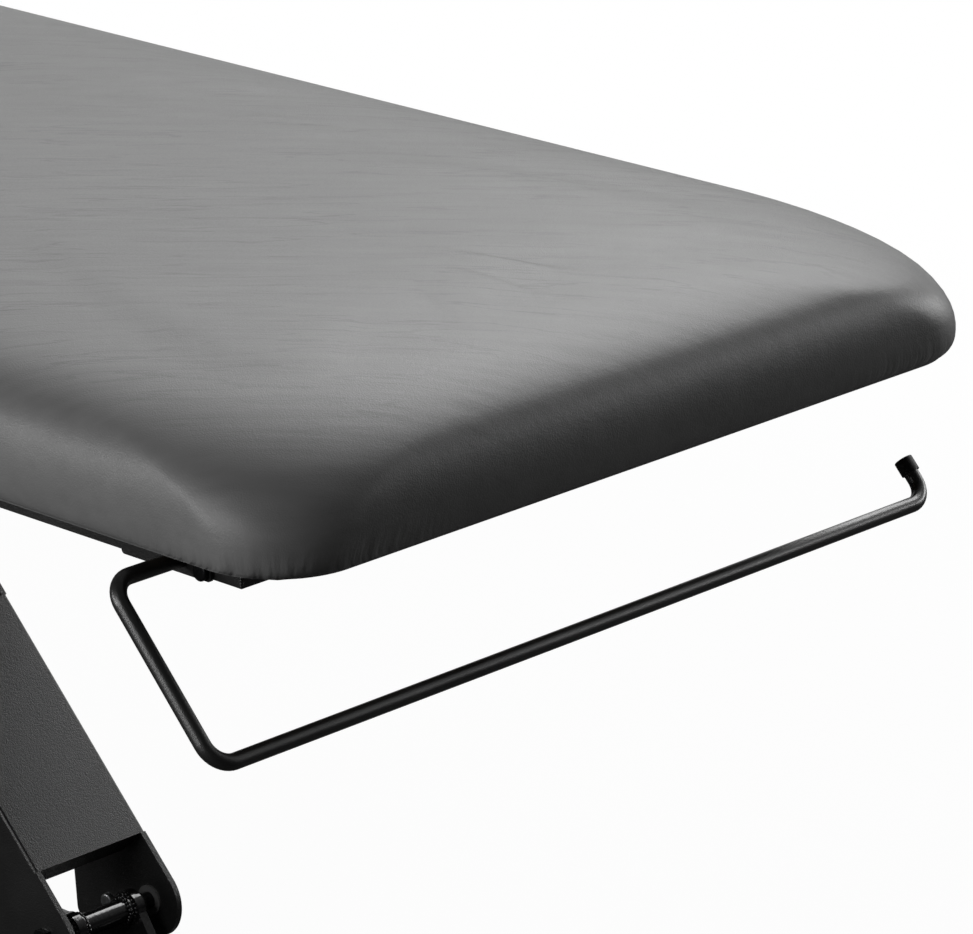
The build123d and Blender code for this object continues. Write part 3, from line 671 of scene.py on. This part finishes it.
# %% [markdown]
# The cushion is foam on a board, with a vinyl cover pulled over it and stapled underneath. Its form
# is a stack of outlines, rounded rectangles that draw in and grow rounder towards the top. The rows
# give the height, the draw-in at the long sides, the draw-in at the ends and the corner radius. A
# smooth curve through them gives the many outlines of the mesh.

# %% Cushion: outlines
pad_low, pad_high = (Vector(corner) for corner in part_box("cushion"))
pad_middle = (pad_low + pad_high) / 2
pad_size = pad_high - pad_low
outline_rows = [
    (0.0000, 0.0085, 0.0085, 0.066),
    (0.0012, 0.0055, 0.0055, 0.065),
    (0.0060, 0.0028, 0.0028, 0.064),
    (0.0140, 0.0006, 0.0006, 0.066),
    (0.0347, -0.0008, -0.0008, 0.075),
    (0.0600, 0.0040, 0.0050, 0.106),
    (0.0745, 0.0122, 0.0160, 0.146),
    (0.0845, 0.0262, 0.0360, 0.174),
    (0.0922, 0.0470, 0.0640, 0.190),
    (0.0972, 0.0760, 0.1040, 0.199),
    (0.1007, 0.1200, 0.1800, 0.203),
    (0.1021, 0.1750, 0.3000, 0.185),
    (0.1020, 0.2600, 0.4500, 0.110),
    (0.1020, 0.3200, 0.6200, 0.055),
]
steps_between = 3
arc_steps = 18
long_steps = 110
short_steps = 42
pocket_inset = 0.0297
pocket_radius = 0.0803
pocket_depth = 0.0153


def curve_through(rows, steps):
    """A cubic B-spline that starts at the first row, ends at the last and runs close by the others."""
    padded = [rows[0]] * 2 + rows + [rows[-1]] * 2
    made = []
    for k in range(len(padded) - 3):
        for step in range(steps):
            t = step / steps
            weights = ((1 - t) ** 3, 3 * t ** 3 - 6 * t * t + 4, -3 * t ** 3 + 3 * t * t + 3 * t + 1, t ** 3)
            made.append([sum(w * row[c] for w, row in zip(weights, padded[k:k + 4])) / 6 for c in range(4)])
    made.append(list(rows[-1]))
    return made


# The four corners, anticlockwise. Each row: the corner's signs, the angle where its arc starts, the
# signs of the next corner, and the count of steps along the side to it.
corners = (
    ((1, 1), 0, (-1, 1), long_steps),
    ((-1, 1), 90, (-1, -1), short_steps),
    ((-1, -1), 180, (1, -1), long_steps),
    ((1, -1), 270, (1, 1), short_steps),
)


def outline_points(height, side_inset, end_inset, radius):
    """One closed outline, anticlockwise from the middle of the +X end, in equal counts of points."""
    reach = Vector((pad_size.x / 2 - end_inset - radius, pad_size.y / 2 - side_inset - radius))
    points = []
    for signs, first, next_signs, steps in corners:
        centre = Vector((signs[0] * reach.x, signs[1] * reach.y))
        next_centre = Vector((next_signs[0] * reach.x, next_signs[1] * reach.y))
        for step in range(arc_steps):
            angle = math.radians(first + 90 * step / arc_steps)
            points.append(centre + radius * Vector((math.cos(angle), math.sin(angle))))
        angle = math.radians(first + 90)
        arm = radius * Vector((math.cos(angle), math.sin(angle)))
        points += [(centre + arm).lerp(next_centre + arm, step / steps) for step in range(steps)]
    return [Vector((pad_middle.x + x, pad_middle.y + y, pad_low.z + height)) for x, y in points]


shell_rows = curve_through(outline_rows, steps_between)
outlines = [outline_points(*row) for row in shell_rows]
print("outlines", len(outlines), "of", len(outlines[0]), "points")

# %% [markdown]
# Underneath, the cover turns in round the board, so the mesh has a pocket as deep as the board. Each
# point keeps its distance round the cushion and its distance up the side as a UV pair, which the
# vinyl's gathers follow.

# %% Cushion: mesh
stapled_rows = 5
flat_rows = 2
measured_row = 4
pad_mesh = bpy.data.meshes.new("padded_cushion")
bm = bmesh.new()
pocket = outline_points(0.0, pocket_inset, pocket_inset, pocket_radius)
ceiling = outline_points(pocket_depth, pocket_inset, pocket_inset, pocket_radius)
rings = [[bm.verts.new(point) for point in outline] for outline in [ceiling, pocket] + outlines]
uv_layer = bm.loops.layers.uv.new("cover")
along = [0.0]
measured = outlines[measured_row]
for first, second in zip(measured, measured[1:] + measured[:1]):
    along.append(along[-1] + (second - first).length)
up = [0.0, 0.0]
for low, high in zip(rings[1:], rings[2:]):
    up.append(up[-1] + (high[0].co - low[0].co).length)
count = len(outlines[0])
for k in range(len(rings) - 1):
    for j in range(count):
        n = (j + 1) % count
        face = bm.faces.new((rings[k][j], rings[k][n], rings[k + 1][n], rings[k + 1][j]))
        face.smooth = k >= flat_rows
        for loop, pair in zip(face.loops, ((j, k), (j + 1, k), (j + 1, k + 1), (j, k + 1))):
            loop[uv_layer].uv = (along[pair[0]], up[pair[1]])
bm.faces.new(list(reversed(rings[0])))
crown = bm.faces.new(rings[-1])
crown.smooth = True
bm.normal_update()
bm.verts.index_update()
stapled_points = [vertex.index for ring in rings[:stapled_rows] for vertex in ring]
bm.to_mesh(pad_mesh)
bm.free()
pad = bpy.data.objects.new("padded_cushion", pad_mesh)
bpy.context.scene.collection.objects.link(pad)
print("cushion", len(pad_mesh.polygons), "faces")

# %% [markdown]
# The gathers are strongest low down and near the corners, and fade out over a hand's width.

# %% Cushion: gathers
gather_reach = 0.030
gather_fade = 1.5
corner_reach = 6 * gather_reach
gather = pad_mesh.attributes.new("gather", "FLOAT", "POINT")
for vertex, value in zip(pad_mesh.vertices, gather.data):
    offset_x = pad_size.x / 2 - abs(vertex.co.x - pad_middle.x)
    offset_y = pad_size.y / 2 - abs(vertex.co.y - pad_middle.y)
    corner_share = max(0.0, 1 - (offset_x + offset_y) / corner_reach)
    low_share = max(0.0, 1 - (vertex.co.z - pad_low.z) / gather_reach)
    value.value = min(1.0, 2 * corner_share) * low_share ** gather_fade
print("gathered points", sum(value.value > 0 for value in gather.data))

# %% [markdown]
# Air pressure in a cloth simulation gives the cover its last few millimetres: a tight swell that is
# free everywhere but along the staples. The mesh starts a little smaller. The foam inside holds the
# cover out, so a point may move outwards as far as the cap, and hardly inwards.

# %% Cushion: swell
start_inset = 0.0008
most_outwards = 0.0016
most_inwards = 0.0003
pressure = 4.0
last_frame = 20
held = set(stapled_points)
normals = [vertex.normal.copy() for vertex in pad_mesh.vertices]
for vertex, normal in zip(pad_mesh.vertices, normals):
    if vertex.index not in held:
        vertex.co -= normal * start_inset
begun = [vertex.co.copy() for vertex in pad_mesh.vertices]
stapled = pad.vertex_groups.new(name="stapled")
stapled.add(stapled_points, 1.0, "REPLACE")
cloth = pad.modifiers.new("swell", "CLOTH")
cloth.settings.vertex_group_mass = "stapled"
cloth.settings.use_pressure = True
cloth.settings.uniform_pressure_force = pressure
cloth.settings.effector_weights.gravity = 0.0
for step in range(1, last_frame + 1):
    bpy.context.scene.frame_set(step)
graph = bpy.context.evaluated_depsgraph_get()
swollen = [vertex.co.copy() for vertex in pad.evaluated_get(graph).data.vertices]
pad.modifiers.clear()
pad.vertex_groups.clear()
bpy.context.scene.frame_set(1)
for vertex, normal, start, target in zip(pad_mesh.vertices, normals, begun, swollen):
    outwards = (target - start).dot(normal)
    vertex.co = start + normal * max(-most_inwards, min(most_outwards, outwards))
print("top at", round(max(vertex.co.z for vertex in pad_mesh.vertices), 4))

# %% [markdown]
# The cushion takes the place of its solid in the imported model, and moves with the top.

# %% Cushion: finish
pad_mesh.materials.append(vinyl)
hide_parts("cushion")
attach(pad, "top")
